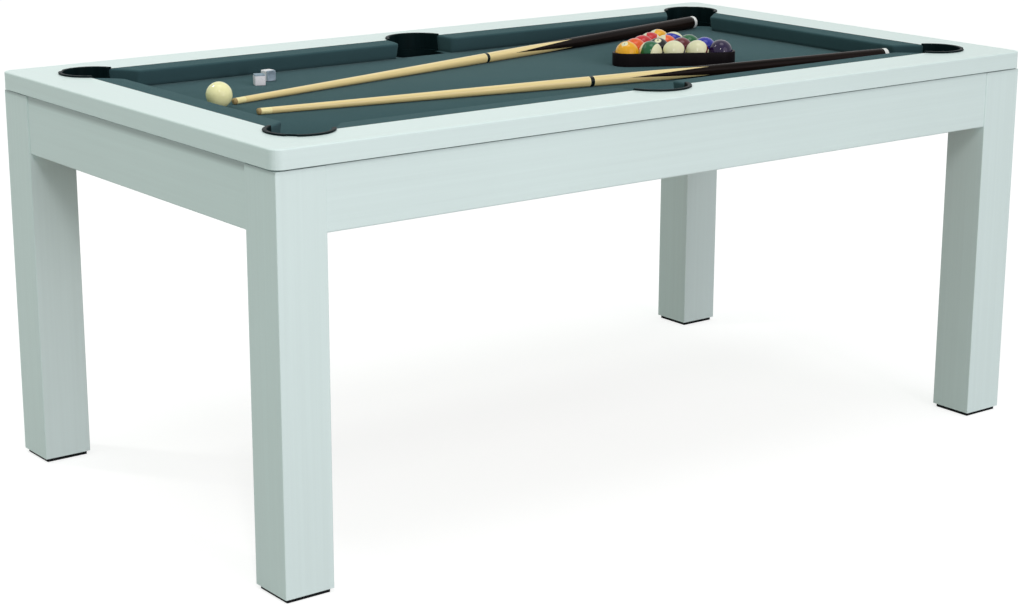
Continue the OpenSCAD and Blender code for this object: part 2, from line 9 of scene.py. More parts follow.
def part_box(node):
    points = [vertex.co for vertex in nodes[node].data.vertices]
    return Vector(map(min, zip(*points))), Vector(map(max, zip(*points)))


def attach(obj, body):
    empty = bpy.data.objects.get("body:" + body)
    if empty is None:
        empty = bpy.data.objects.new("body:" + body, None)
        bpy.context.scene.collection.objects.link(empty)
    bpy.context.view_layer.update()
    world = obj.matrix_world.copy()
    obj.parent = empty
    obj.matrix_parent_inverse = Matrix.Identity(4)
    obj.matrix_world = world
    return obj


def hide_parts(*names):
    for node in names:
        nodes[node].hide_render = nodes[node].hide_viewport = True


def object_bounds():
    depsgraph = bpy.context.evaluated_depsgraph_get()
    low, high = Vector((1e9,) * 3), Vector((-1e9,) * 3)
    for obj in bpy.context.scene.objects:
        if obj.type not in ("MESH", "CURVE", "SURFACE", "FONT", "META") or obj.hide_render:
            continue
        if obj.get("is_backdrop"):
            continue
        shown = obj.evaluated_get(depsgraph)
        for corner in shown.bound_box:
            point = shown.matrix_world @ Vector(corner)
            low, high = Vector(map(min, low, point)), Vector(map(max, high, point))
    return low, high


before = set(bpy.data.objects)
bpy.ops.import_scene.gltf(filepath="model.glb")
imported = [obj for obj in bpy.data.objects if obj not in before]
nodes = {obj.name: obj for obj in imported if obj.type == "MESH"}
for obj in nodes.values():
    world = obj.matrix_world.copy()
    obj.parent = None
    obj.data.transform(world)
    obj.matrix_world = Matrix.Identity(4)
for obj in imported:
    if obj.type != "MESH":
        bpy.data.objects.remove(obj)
cad_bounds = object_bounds()

MM = 0.001


def box_mm(node):
    """Low and high corner of a CAD node, in millimetres."""
    return [[round(c / MM, 3) for c in corner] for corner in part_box(node)]


def named(prefix):
    return [name for name in nodes if name.startswith(prefix)]


# Camera: location and reach in metres, angles in degrees, lens and sensor in millimetres
CAMERA_AT = (-2.7512, -3.5364, 1.4819)
CAMERA_YAW = 37.47
CAMERA_PITCH = 15.023
CAMERA_ROLL = 0.16
CAMERA_LENS = 76.71
CAMERA_SENSOR = 36
CAMERA_REACH = 100

# Light
SKY_COLOUR = (0.85, 1.0, 0.90)
SKY_STRENGTH = 0.46
# Suns: name, direction to the lamp, colour, strength, and angle in degrees. The key stands low
# in front, so that it reaches the back legs under the table
SUNS = [
    ("key", (0.12, -0.92, 0.36), (1.0, 0.84, 1.0), 0.62, 45),
    ("overhead", (0.05, -0.1, 1.0), (1.0, 0.95, 1.0), 0.52, 30),
]
# Slim soft boxes that give the balls and cues their small highlights: where they stand
STRIPS = [(-1.9, 1.9, 3.9), (-2.1, -2.7, 3.0), (-0.1, -4.3, 1.3)]
STRIP_SIZE = (0.18, 1.0)
STRIP_COLOUR = (0.98, 0.95, 0.95)
STRIP_RADIANCE = 42
# Floor: half its width in metres, its grey, and how much it glows where it is seen directly
FLOOR_REACH = 30
FLOOR_GREY = 0.42
FLOOR_GLOW = 0.76

# Colours, linear
WHITE_PAINT = (0.75, 0.87, 0.855)
CLOTH_BLUE = (0.045, 0.094, 0.105)
CLOTH_SHEEN = (0.68, 0.98, 1.0)
BLACK_PLASTIC = (0.003, 0.009, 0.010)
FOOT_BLACK = (0.012, 0.013, 0.014)
RACK_BLACK = (0.010, 0.008, 0.009)
RUBBER = (0.014, 0.014, 0.015)
FIBREBOARD = (0.36, 0.24, 0.14)
PINE = (0.66, 0.45, 0.25)
PINE_BLOCK = (0.62, 0.42, 0.23)
STEEL = (0.55, 0.56, 0.57)
BRASS = (0.72, 0.52, 0.22)
MAPLE = (0.94, 0.74, 0.34)
LACQUER = (0.008, 0.005, 0.004)
IVORY = (1.0, 0.85, 0.42)
RING_WHITE = (0.88, 0.88, 0.86)
LEATHER = (0.40, 0.28, 0.11)
TIP_PAD = (0.36, 0.24, 0.10)
RESIN_WHITE = (0.80, 0.77, 0.50)
CUE_BALL_WHITE = (0.97, 0.92, 0.50)
INK = (0.012, 0.012, 0.013)
CHALK_BLUE = (0.30, 0.38, 0.45)
PAPER_WHITE = (0.94, 0.91, 0.95)
# Balls 1 to 8. The striped ones, from 9 on, start again with the first colour
BALL_COLOURS = [
    (0.88, 0.42, 0.005),
    (0.008, 0.02, 0.36),
    (0.60, 0.008, 0.012),
    (0.012, 0.003, 0.045),
    (0.86, 0.11, 0.008),
    (0.003, 0.12, 0.035),
    (0.13, 0.006, 0.012),
    (0.003, 0.003, 0.004),
]
EIGHT = len(BALL_COLOURS)

# Plan and heights of the table in millimetres, from the CAD: half of its length and width,
# outside and inside the rails, and the top of the cloth on the bed
HALF_L, INNER_L = (-corner[0] for corner in box_mm("left_rail"))
HALF_W, INNER_W = (-corner[1] for corner in box_mm("front_rail"))
BED_TOP = box_mm("bed_cloth")[1][2]
# How far the middle of a corner pocket lies inside the table's edges, and of a side pocket
CORNER_IN = 132
SIDE_IN = 122
SIDE_CENTRE_Y = HALF_W - SIDE_IN


# Materials


def fill(node, **values):
    """Sets a node's sockets by name, with an underscore for each blank."""
    for socket, value in values.items():
        node.inputs[socket.replace("_", " ")].default_value = value


def shade(colour, share):
    return tuple(min(1.0, c * share) for c in colour)


def along(axis, lengthwise, across):
    """Texture scale for a grain that runs along axis 0, 1 or 2."""
    return tuple(lengthwise if i == axis else across for i in range(3))


class Finish:
    """A material with one Principled shader, and the nodes that feed it."""

    def __init__(self, name, colour, roughness, **sockets):
        self.material = bpy.data.materials.new(name)
        self.material.use_nodes = True
        self.tree = self.material.node_tree
        self.shader = self.tree.nodes["Principled BSDF"]
        self.colour = colour
        fill(self.shader, Base_Color=(*colour, 1), Roughness=roughness, **sockets)

    def node(self, kind, **settings):
        made = self.tree.nodes.new("ShaderNode" + kind)
        for name, value in settings.items():
            setattr(made, name, value)
        return made

    def link(self, source, target):
        self.tree.links.new(source, target)

    def place(self, scale=(1, 1, 1), turn=(0, 0, 0)):
        """Object coordinates in metres, stretched by scale."""
        mapping = self.node("Mapping")
        fill(mapping, Scale=scale, Rotation=turn)
        self.link(self.node("TexCoord").outputs["Object"], mapping.inputs["Vector"])
        return mapping.outputs["Vector"]

    def split(self, vector):
        """The X, Y and Z of a vector, by name."""
        made = self.node("SeparateXYZ")
        self.link(vector, made.inputs["Vector"])
        return made.outputs

    def noise(self, vector, scale=1.0, detail=3, roughness=0.55):
        made = self.node("TexNoise")
        fill(made, Scale=scale, Detail=detail, Roughness=roughness)
        self.link(vector, made.inputs["Vector"])
        return made.outputs["Fac"]

    def bands(self, vector, scale, way, distortion):
        made = self.node("TexWave", wave_type="BANDS", bands_direction=way)
        fill(made, Scale=scale, Distortion=distortion, Detail=2)
        self.link(vector, made.inputs["Vector"])
        return made.outputs["Fac"]

    def math(self, operation, *values):
        """One operation on numbers or sockets."""
        made = self.node("Math", operation=operation)
        for socket, value in zip(made.inputs, values):
            if isinstance(value, (int, float)):
                socket.default_value = value
            else:
                self.link(value, socket)
        return made.outputs[0]

    def add(self, first, *others):
        total = first
        for other in others:
            total = self.math("ADD", total, other)
        return total

    def times(self, a, b):
        return self.math("MULTIPLY", a, b)

    def spread(self, value, low, high, start=0.3, end=0.7):
        """value between start and end becomes low to high."""
        made = self.node("MapRange")
        fill(made, From_Min=start, From_Max=end, To_Min=low, To_Max=high)
        self.link(value, made.inputs["Value"])
        return made.outputs["Result"]

    def mix(self, factor, a, b):
        """a where factor is 0 and b where it is 1. Each is a colour or a socket."""
        made = self.node("Mix", data_type="RGBA")
        self.link(factor, made.inputs["Factor"])
        for socket, value in ((made.inputs["A"], a), (made.inputs["B"], b)):
            if isinstance(value, tuple):
                socket.default_value = (*value, 1)
            else:
                self.link(value, socket)
        return made.outputs["Result"]

    def tones(self, factor, dark, light):
        """The material's own colour, scaled from dark to light by factor."""
        return self.mix(factor, shade(self.colour, dark), shade(self.colour, light))

    def paint(self, colour):
        self.link(colour, self.shader.inputs["Base Color"])

    def gloss(self, roughness):
        self.link(roughness, self.shader.inputs["Roughness"])

    def bump(self, height, depth, strength):
        """Relief of a height. depth is in metres."""
        made = self.node("Bump")
        fill(made, Strength=strength, Distance=depth)
        self.link(height, made.inputs["Height"])
        self.link(made.outputs["Normal"], self.shader.inputs["Normal"])


# Painted shadow: a soft dark band painted just under the rails, in place of the shade that the
# rails' overhang casts there. Its share of black on faces that look left or right and on those
# that look to the front or back, and in millimetres below the cloth how far it is full and where
# it ends. On the sides it is deeper on the aprons than on the legs. It starts a hair below the
# rails, so that their own faces stay clear
SIDE_PAINTED_SHADOW = 0.37
FRONT_PAINTED_SHADOW = 0.14
APRON_SIDE_SHADOW_BAND = (9, 19)
LEG_SIDE_SHADOW_BAND = (3, 10)
FRONT_SHADOW_BAND = (3, 11)
RAIL_CLEAR = 0.2


def shade_under_rail(made, side_shadow_band):
    """Share of black for the painted shadow, a soft dark band just under the rails."""
    z = made.split(made.place())["Z"]
    facing = made.split(made.node("NewGeometry").outputs["Normal"])
    below_rail = made.math("LESS_THAN", z, (BED_TOP - RAIL_CLEAR) * MM)
    sideways = made.times(made.math("ABSOLUTE", facing["X"]), below_rail)
    forward = made.math("SUBTRACT", below_rail, sideways)
    shares = []
    for facing_share, black, (full, end) in (
        (sideways, SIDE_PAINTED_SHADOW, side_shadow_band),
        (forward, FRONT_PAINTED_SHADOW, FRONT_SHADOW_BAND),
    ):
        band = made.spread(z, 0, black, (BED_TOP - end) * MM, (BED_TOP - full) * MM)
        shares.append(made.times(band, facing_share))
    return made.add(*shares)


def white_paint(axis, side_shadow_band):
    """Satin paint over MDF, with faint streaks along the board and a painted shadow under the rails."""
    made = Finish("white_paint_" + "xyz"[axis], WHITE_PAINT, 0.34, Specular_IOR_Level=0.4)
    streaks = made.noise(made.place(along(axis, 1.6, 110)), detail=5, roughness=0.6)
    clouds = made.noise(made.place(), 3.5, detail=2)
    orange_peel = made.noise(made.place(), 420, detail=2)
    mottle = made.add(made.spread(streaks, 0, 0.7), made.spread(clouds, 0, 0.3))
    # Painted shadow: the paint is mixed towards black in the band just under the rails
    made.paint(made.mix(shade_under_rail(made, side_shadow_band), made.tones(mottle, 0.965, 1.02), (0, 0, 0)))
    made.gloss(made.spread(streaks, 0.30, 0.40))
    made.bump(made.add(streaks, made.times(orange_peel, 0.5)), depth=0.00012, strength=0.35)
    return made.material


def cloth(name):
    """Worsted table cloth: fine weave, short nap and slow changes of tone."""
    made = Finish(name, CLOTH_BLUE, 0.95, Specular_IOR_Level=0.04)
    fill(made.shader, Sheen_Weight=0.12, Sheen_Roughness=0.42, Sheen_Tint=(*CLOTH_SHEEN, 1))
    place = made.place()
    threads = made.times(*(made.bands(place, 330, way, 0.6) for way in "XY"))
    nap = made.noise(place, 950, roughness=0.65)
    clouds = made.noise(place, 7)
    brushed = made.noise(made.place(scale=(14, 90, 30), turn=(0, 0, 0.5)))
    tone = made.add(
        made.spread(nap, 0, 0.45),
        made.spread(threads, 0, 0.2, start=0, end=1),
        made.spread(clouds, 0, 0.2),
        made.spread(brushed, 0, 0.15),
    )
    made.paint(made.tones(tone, 0.84, 1.16))
    made.bump(made.add(made.times(threads, 0.6), nap), depth=0.00022, strength=0.5)
    return made.material


def moulded(name, colour, roughness, streak=0.5):
    """Moulded plastic or rubber with a fine grain and faint lines down the mould's draw."""
    made = Finish(name, colour, roughness, Specular_IOR_Level=0.03)
    grain = made.noise(made.place(), 1400, detail=2)
    lines = made.noise(made.place((70, 70, 3)), detail=4)
    made.paint(made.tones(made.spread(lines, 0, 1), 1 - 0.3 * streak, 1 + 0.8 * streak))
    made.gloss(made.spread(lines, roughness - 0.07, roughness + 0.07))
    made.bump(made.add(made.times(grain, 0.5), lines), depth=0.00018, strength=0.4)
    return made.material


def fibreboard():
    """Raw board of the bed slab, with flecks of fibre."""
    made = Finish("fibreboard", FIBREBOARD, 0.85)
    flecks = made.noise(made.place((1, 1, 2.5)), 700, detail=4, roughness=0.7)
    clouds = made.noise(made.place(), 9)
    tone = made.add(made.spread(flecks, 0, 0.7), made.spread(clouds, 0, 0.3))
    made.paint(made.tones(tone, 0.78, 1.18))
    made.bump(flecks, depth=0.0002, strength=0.5)
    return made.material


def wood(name, colour, axis, rings=26, contrast=0.3, roughness=0.6, **sockets):
    """Straight-grained wood along one axis: growth lines, pores and slow changes."""
    made = Finish(name, colour, roughness, **sockets)
    lines = made.bands(made.place(along(axis, 0.05, 1)), rings, "XYZ"[(axis + 1) % 3], 5)
    pores = made.noise(made.place(along(axis, 9, 420)), detail=4, roughness=0.65)
    clouds = made.noise(made.place(along(axis, 1.5, 14)))
    tone = made.add(
        made.spread(lines, 0, 0.4, start=0, end=1),
        made.spread(pores, 0, 0.35),
        made.spread(clouds, 0, 0.25),
    )
    made.paint(made.tones(tone, 1 - contrast, 1 + 0.4 * contrast))
    made.bump(pores, depth=0.00012, strength=0.3)
    return made.material


def metal(name, colour, roughness):
    """Metal that is a little hazy in places."""
    made = Finish(name, colour, roughness, Metallic=1.0)
    haze = made.noise(made.place((90, 90, 400)))
    made.paint(made.tones(made.spread(haze, 0, 1), 0.85, 1.08))
    made.gloss(made.spread(haze, roughness - 0.08, roughness + 0.1))
    made.bump(haze, depth=0.00008, strength=0.4)
    return made.material


def lacquer():
    """Deep black lacquer on the cue butts, with the wood's lines just under it."""
    made = Finish("butt_lacquer", LACQUER, 0.25, Specular_IOR_Level=0.05)
    lines = made.noise(made.place((5, 260, 260)), detail=4)
    made.paint(made.tones(made.spread(lines, 0, 1), 0.5, 2.4))
    made.gloss(made.spread(lines, 0.17, 0.3))
    made.bump(lines, depth=0.00005, strength=0.25)
    return made.material


def leather():
    """Pressed leather cue tip with a little blue chalk on it."""
    made = Finish("tip_leather", LEATHER, 0.85)
    powder = made.noise(made.place(), 900, detail=4, roughness=0.7)
    layers = made.bands(made.place(), 260, "X", 1.5)
    dust = made.spread(powder, 0, 0.25, start=0.5)
    made.paint(made.mix(dust, made.tones(layers, 0.7, 1.2), CHALK_BLUE))
    made.bump(powder, depth=0.0003, strength=0.7)
    return made.material


def polished(name, colour, roughness, clouds, low=0.95, high=1.03, **sockets):
    """Smooth glossy plastic, resin or ink, with slow changes of tone."""
    made = Finish(name, colour, roughness, **sockets)
    drift = made.noise(made.place(), clouds)
    specks = made.noise(made.place(), clouds * 25, detail=2)
    tone = made.add(made.spread(drift, 0, 0.7), made.spread(specks, 0, 0.3))
    made.paint(made.tones(tone, low, high))
    made.gloss(made.spread(drift, roughness * 0.8, roughness * 1.3))
    made.bump(specks, depth=0.00003, strength=0.2)
    return made.material


def chalk_finish():
    """Dry pressed chalk, rubbed paler in places."""
    made = Finish("chalk", CHALK_BLUE, 0.97)
    powder = made.noise(made.place(), 1300, detail=4, roughness=0.75)
    rubbed = made.noise(made.place(), 160)
    tone = made.add(made.spread(powder, 0, 0.5), made.spread(rubbed, 0, 0.5))
    made.paint(made.tones(tone, 0.75, 1.25))
    made.bump(powder, depth=0.0004, strength=0.7)
    return made.material


def paper_finish():
    """Paper label round a chalk, with fibres and a little chalk dust."""
    made = Finish("chalk_paper", PAPER_WHITE, 0.7)
    fibres = made.noise(made.place((500, 500, 140)), detail=4)
    dust = made.noise(made.place(), 240, detail=4, roughness=0.7)
    dust = made.spread(dust, 0, 0.35, start=0.55, end=0.8)
    made.paint(made.mix(dust, made.tones(fibres, 0.94, 1.03), CHALK_BLUE))
    made.bump(fibres, depth=0.0001, strength=0.4)
    return made.material


def ball_finish(number):
    """Resin of one ball. Its number spots lie on local X and a stripe runs round local Z."""
    colour = BALL_COLOURS[(number - 1) % EIGHT]
    made = Finish(f"ball_{number}_resin", colour, 0.07, Specular_IOR_Level=0.35)
    place = made.split(made.place())
    drift = made.noise(made.place(), 60, detail=2)
    cloudy = made.spread(drift, 0, 1)
    body = made.tones(cloudy, 0.93, 1.05)
    white = made.mix(cloudy, shade(RESIN_WHITE, 0.95), shade(RESIN_WHITE, 1.03))

    def past(axis, share):
        """1 where the ball lies past a share of its radius along an axis, both ways."""
        return made.math("GREATER_THAN", made.math("ABSOLUTE", place[axis]), BALL_R * share * MM)

    if number > EIGHT:
        body = made.mix(past("Z", STRIPE_SHARE), body, white)
    made.paint(made.mix(past("X", SPOT_SHARE), body, white))
    made.gloss(made.spread(drift, 0.05, 0.1))
    return made.material


# Meshes


def add_piece(mesh, body, slot, node, materials, matrix=None, crease=40):
    """Links a mesh as one piece that rides on a CAD body and replaces a CAD node."""
    for polygon in mesh.polygons:
        polygon.use_smooth = True
    mesh.set_sharp_from_angle(angle=math.radians(crease))
    for material in materials:
        mesh.materials.append(material)
    piece = bpy.data.objects.new(mesh.name, mesh)
    bpy.context.collection.objects.link(piece)
    if matrix is not None:
        piece.matrix_world = matrix
    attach(piece, body)
    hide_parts(node)
    return piece


def mesh_of(name, points, faces, face_materials=None):
    """A mesh in metres from points in millimetres, with its faces turned outward."""
    mesh = bpy.data.meshes.new(name)
    mesh.from_pydata([tuple(c * MM for c in p) for p in points], [], faces)
    if face_materials:
        mesh.polygons.foreach_set("material_index", face_materials)
    outward = bmesh.new()
    outward.from_mesh(mesh)
    bmesh.ops.recalc_face_normals(outward, faces=outward.faces)
    outward.to_mesh(mesh)
    outward.free()
    mesh.update()
    return mesh


def loft(name, rings, material_of=lambda step, place: 0, closed=False):
    """Skin over rings of equally many points. The ends are capped, or joined where closed."""
    n = len(rings[0])
    points = [p for ring in rings for p in ring]
    faces, chosen = [], []
    steps = len(rings) if closed else len(rings) - 1
    for i in range(steps):
        a, b = i * n, (i + 1) % len(rings) * n
        for j in range(n):
            k = (j + 1) % n
            faces.append((a + j, a + k, b + k, b + j))
            chosen.append(material_of(i, j))
    if not closed:
        last = steps * n
        faces += [tuple(range(n)), tuple(range(last, last + n))]
        chosen += [material_of(0, 0), material_of(steps - 1, 0)]
    return mesh_of(name, points, faces, chosen)


def between(a, b, steps):
    """Points on the way from a to b, without its ends."""
    return [a.lerp(b, i / steps) for i in range(1, steps)]


def fillet(before, corner, after, r, steps):
    """Points of a round of radius r at a corner between two straight edges."""
    into, out = (corner - before).normalized(), (after - corner).normalized()
    turn = into.angle_signed(out)
    reach = r * math.tan(abs(turn) / 2)
    start = corner - into * reach
    side = Vector((-into.y, into.x)) * (-1 if turn > 0 else 1)
    centre = start + side * r
    spoke = start - centre
    made = []
    for i in range(steps + 1):
        angle = -turn * i / steps
        cos, sin = math.cos(angle), math.sin(angle)
        made.append(centre + Vector((spoke.x * cos - spoke.y * sin, spoke.x * sin + spoke.y * cos)))
    return made


def placed(point, turn):
    """Matrix for a point in millimetres and a turn."""
    return Matrix.Translation(Vector(point) * MM) @ turn


# Cushions

# From the rail to the nose
CUSHION_W = INNER_L + box_mm("cushion_left")[1][0]
# How much shorter a cushion's nose is than its back, at a corner and at a side pocket
CORNER_FLARE = 42
SIDE_FLARE = 6
# The round in plan between nose and jaw. It gets smaller on the rings further in
NOSE_CORNER_R = 13
NOSE_CORNER_LEAST_R = 4
NOSE_STEPS = 24
JAW_STEPS = 6
FILLET_STEPS = 8
# The groove between cushion and rail, and the top's fall from there to the nose: heights are
# above the bed, and CROWN is how much the top bulges over a straight fall
GROOVE_W = 1.8
GROOVE_Z = 34.0
TOP_AT_RAIL = 34.7
TOP_AT_NOSE = 33.8
TOP_EDGE_IN = 4
CROWN = 0.35
# From this height up the face rises with the crown, and RING_GAP keeps each ring under the top
CROWN_FROM = 23
RING_GAP = 0.05

# Rings from the foot to the middle of the top: how far the nose and the jaws
# lie inside the cushion's plan, how far the back lies off the rail, and the height
CUSHION_RINGS = [
    (8, 4, 0.6, 0.4),
    (7.2, 3.6, 0.1, 0.9),
    (5.6, 2.7, 0.1, 7.5),
    (3.6, 1.7, 0.1, 15),
    (1.6, 0.8, 0.1, 22.5),
    (0.4, 0.2, 0.1, 27.5),
    (0.1, 0.1, 0.1, 29.4),
    (0, 0, 0.1, 30.8),
    (0.3, 0.3, 0.1, 31.9),
    (1.1, 1.1, 0.15, 32.8),
    (2.4, 2.4, 0.2, 33.5),
    (TOP_EDGE_IN, 4, 0.3, TOP_AT_NOSE),
    (5.5, 5.5, 1.4, None),
    (9, 9, GROOVE_W, None),
    (16, 15, 9, None),
    (23, 21, 18, None),
]


def cushion_top(v):
    """Height of a cushion's top at v from the rail: a groove, then a slightly crowned fall."""
    if v < GROOVE_W:
        share = v / GROOVE_W
        return GROOVE_Z + (TOP_AT_RAIL - GROOVE_Z) * share * share * (3 - 2 * share)
    share = (v - GROOVE_W) / (CUSHION_W - TOP_EDGE_IN - GROOVE_W)
    crown = CROWN * math.sin(math.pi * min(1, max(0, share)))
    return TOP_AT_RAIL + (TOP_AT_NOSE - TOP_AT_RAIL) * share + crown


def ring_height(height, top):
    """Height of a ring's point where the top lies at top. Without a height it is on the top."""
    if height is None:
        return top
    lift = max(0, (height - CROWN_FROM) / (TOP_AT_NOSE - CROWN_FROM))
    z = height + lift * max(0, top - TOP_AT_NOSE)
    return min(z, top - RING_GAP - RING_GAP * (TOP_AT_NOSE - height))


def jaw_line(at_rail, at_nose, inward):
    """The line of a jaw, moved inward, as a function of v from the rail."""
    slope = (at_nose - at_rail) / CUSHION_W
    shift = inward * math.hypot(1, slope)
    return lambda v: Vector((at_rail + slope * v + shift, v))


def jaw_points(line, back, end_v):
    """Points along a jaw, from the back over the groove to where the nose's round starts."""
    start_v = back + GROOVE_W
    vs = [back] + [start_v + (end_v - start_v) * i / JAW_STEPS for i in range(JAW_STEPS)]
    return [line(v) for v in vs]


def cushion_ring(jaws, ring):
    """One closed ring of a cushion. jaws are [(u at the rail, u at the nose)] from low to high u."""
    nose_in, jaw_in, back, height = ring
    nose_v = CUSHION_W - nose_in
    low, high = jaw_line(*jaws[0], jaw_in), jaw_line(*jaws[1], -jaw_in)
    r = max(NOSE_CORNER_LEAST_R, NOSE_CORNER_R - nose_in)
    left = fillet(low(0), low(nose_v), high(nose_v), r, FILLET_STEPS)
    right = fillet(low(nose_v), high(nose_v), high(0), r, FILLET_STEPS)
    outline = jaw_points(low, back, left[0].y) + left
    outline += between(left[-1], right[0], NOSE_STEPS)
    outline += right + jaw_points(high, back, right[-1].y)[::-1]
    outline += between(outline[-1], outline[0], NOSE_STEPS)
    return [(p.x, p.y, ring_height(height, cushion_top(p.y))) for p in outline]


def on_side(side, u, v):
    """Plan point from u along a side and v from the rail's inner edge."""
    return {
        "front": (u, v - INNER_W),
        "back": (u, INNER_W - v),
        "left": (v - INNER_L, u),
        "right": (INNER_L - v, u),
    }[side]


def make_cushions():
    finish = cloth("cushion_cloth")
    for node in named("cushion_"):
        side = node.split("_")[1]
        axis = 0 if side in ("front", "back") else 1
        low, high = (c[axis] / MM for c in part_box(node))
        low_flare = SIDE_FLARE if node.endswith("_right") and axis == 0 else CORNER_FLARE
        high_flare = SIDE_FLARE if node.endswith("_left") and axis == 0 else CORNER_FLARE
        jaws = [(low, low + low_flare), (high, high - high_flare)]
        rings = []
        for ring in CUSHION_RINGS:
            rings.append([(*on_side(side, u, v), BED_TOP + z) for u, v, z in cushion_ring(jaws, ring)])
        mesh = loft(node + "_cover", rings)
        piece = add_piece(mesh, "table", "cushion_cloth", node, [finish], crease=50)


# Bed cloth

CLOTH_HALF_L, CLOTH_HALF_W, _ = box_mm("bed_cloth")[1]
CLOTH_T = BED_TOP - box_mm("bed_cloth")[0][2]
# Where the cut at a corner pocket meets the cloth's sides and its slanting stretch, from the table's edges
CORNER_WIDE = 174.5
CORNER_NARROW = 99.8
# The round cut at a side pocket, and how far it goes on past the pocket's middle
SIDE_CUT_R = 60.3
SIDE_CUT_PAST = 24.3
SIDE_CUT_STEPS = 6
# The cloth's edge from its underside up, softly rounded: how far in, and the share of its thickness
CLOTH_EDGE = [(0, 0), (0, 0.55), (0.15, 0.85), (0.5, 1)]
# Sets a limit to how far a corner moves where two edges meet at a sharp angle
SHARPEST_MITRE = 0.3


def cloth_quarter():
    """Outline of the cloth's front right quarter, from the side pocket to the right side."""
    turn = math.asin(SIDE_CUT_PAST / SIDE_CUT_R)
    arc = []
    for i in range(SIDE_CUT_STEPS + 1):
        angle = turn * (1 - i / SIDE_CUT_STEPS)
        arc.append((SIDE_CUT_R * math.cos(angle), SIDE_CUT_R * math.sin(angle) - SIDE_CENTRE_Y))
    return arc + [
        (SIDE_CUT_R, -CLOTH_HALF_W),
        (HALF_L - CORNER_WIDE, -CLOTH_HALF_W),
        (HALF_L - CORNER_WIDE, CORNER_NARROW - HALF_W),
        (HALF_L - CORNER_NARROW, CORNER_WIDE - HALF_W),
        (CLOTH_HALF_L, CORNER_WIDE - HALF_W),
    ]


def shrink(outline, inset):
    """A closed outline moved inward along its corners' bisectors."""
    made = []
    for i, p in enumerate(outline):
        before, after = Vector(outline[i - 1]), Vector(outline[(i + 1) % len(outline)])
        p = Vector(p)
        a, b = (p - before).normalized(), (after - p).normalized()
        inward = Vector((-a.y, a.x)) + Vector((-b.y, b.x))
        made.append(p + inward / max(SHARPEST_MITRE, inward.length_squared) * 2 * inset)
    return made


def make_bed_cloth():
    quarter = cloth_quarter()
    half = quarter + [(x, -y) for x, y in reversed(quarter)]
    outline = half + [(-x, -y) for x, y in half]
    n = len(outline)
    points, faces = [], []
    for inset, up in CLOTH_EDGE:
        points += [(p.x, p.y, BED_TOP + (up - 1) * CLOTH_T) for p in shrink(outline, inset)]
    for level in range(len(CLOTH_EDGE) - 1):
        a, b = level * n, (level + 1) * n
        faces += [(a + j, a + (j + 1) % n, b + (j + 1) % n, b + j) for j in range(n)]
    for start in (0, len(points) - n):
        cap = [Vector(points[start + j]) for j in range(n)]
        faces += [tuple(start + k for k in triangle) for triangle in tessellate_polygon([cap])]
    mesh = mesh_of("playing_cloth", points, faces)
    piece = add_piece(mesh, "table", "bed_cloth", "bed_cloth", [cloth("bed_cloth")])


# Cues

# Each cue's tip in plan in millimetres, and its heading in degrees. From the tip, whose middle
# lies at CUE_TIP_Z, both rise by CUE_TILT degrees. Places along a cue are counted from its tip
CUES = {"cue_1": (-659.0, 73.5, 10.8599), "cue_2": (-679.4, -48.8, -9.5941)}
CUE_TILT = 0.3338
CUE_TIP_Z = 771.5
CUE_STEPS = 44
TIP_D = 12.4
JOINT_D = 20.8
BUTT_D = 29.2
# Power of the shaft's taper. Over 1 it stays slim for longer
TAPER = 1.2
SHAFT_FROM = 29
SHAFT_RINGS = 20
JOINT_AT = 718.065
BUTT_END = 1442
# The gap between the halves on each side of the joint, the chamfers there and at the butt's end,
# and the shallower ones where the ferrule meets the shaft
JOINT_GAP = 0.05
CHAMFER = 0.5
CHAMFER_L = 0.6
SHAFT_CHAMFER = 0.15
SHAFT_CHAMFER_L = 0.4
# Black collar on each side of the joint, and the pale ring next to it
COLLAR_L = 4.5
COLLAR_RING = 1.3
COLLAR_FROM, COLLAR_TO = JOINT_AT - COLLAR_L, JOINT_AT + COLLAR_L
RING_FROM, RING_TO = COLLAR_FROM - COLLAR_RING, COLLAR_TO + COLLAR_RING
# The maple points run into the black between these places. They are turned about the cue by
# SPLICE_TURN degrees, and SPLICE_LEAST is left of maple or black where the other is full
SPLICE_FROM = 804
SPLICE_TO = 996
SPLICE_TURN = 78
SPLICE_RINGS = 24
SPLICE_LEAST = 0.005
BLACK_STEPS, MAPLE_STEPS = 6, 5
# Rings in the plain stretches before and behind the splice
MAPLE_STOPS = (760,)
BLACK_STOPS = (1060, 1160, 1280, 1380, 1436)
# Outlines: place along the cue, and radius
TIP_PAD_FROM = 5.7
TIP_OUTLINE = [
    (0.05, 0.6),
    (0.15, 2.4),
    (0.8, 5.0),
    (2, 5.95),
    (3.2, 6.25),
    (5.6, 6.3),
    (TIP_PAD_FROM, 6.3),
    (7, 6.2),
]
WHITE_RING_FROM, WHITE_RING_TO = 1444, 1454
BUMPER_OUTLINE = [
    (1442.05, 14.1),
    (1442.4, 14.5),
    (1443.9, 14.55),
    (WHITE_RING_FROM, 14.55),
    (1453.6, 14.5),
    (WHITE_RING_TO, 14.1),
    (1454.2, 12.9),
    (1456.6, 11.6),
    (1457.7, 9),
    (1458, 5),
]


def shaft_r(s):
    return (TIP_D + (JOINT_D - TIP_D) * (s / JOINT_AT) ** TAPER) / 2


def butt_r(s):
    return (JOINT_D + (BUTT_D - JOINT_D) * (s - JOINT_AT) / (BUTT_END - JOINT_AT)) / 2


def cue_matrix(cue):
    x, y, heading = CUES[cue]
    ahead = direction(heading, CUE_TILT)
    left = Vector((0, 0, 1)).cross(ahead).normalized()
    turn = Matrix((ahead, left, ahead.cross(left))).transposed().to_4x4()
    return placed((x, y, CUE_TIP_Z), turn)


def ring_at(s, r, angles):
    return [(s, r * math.cos(math.radians(a)), r * math.sin(math.radians(a))) for a in angles]


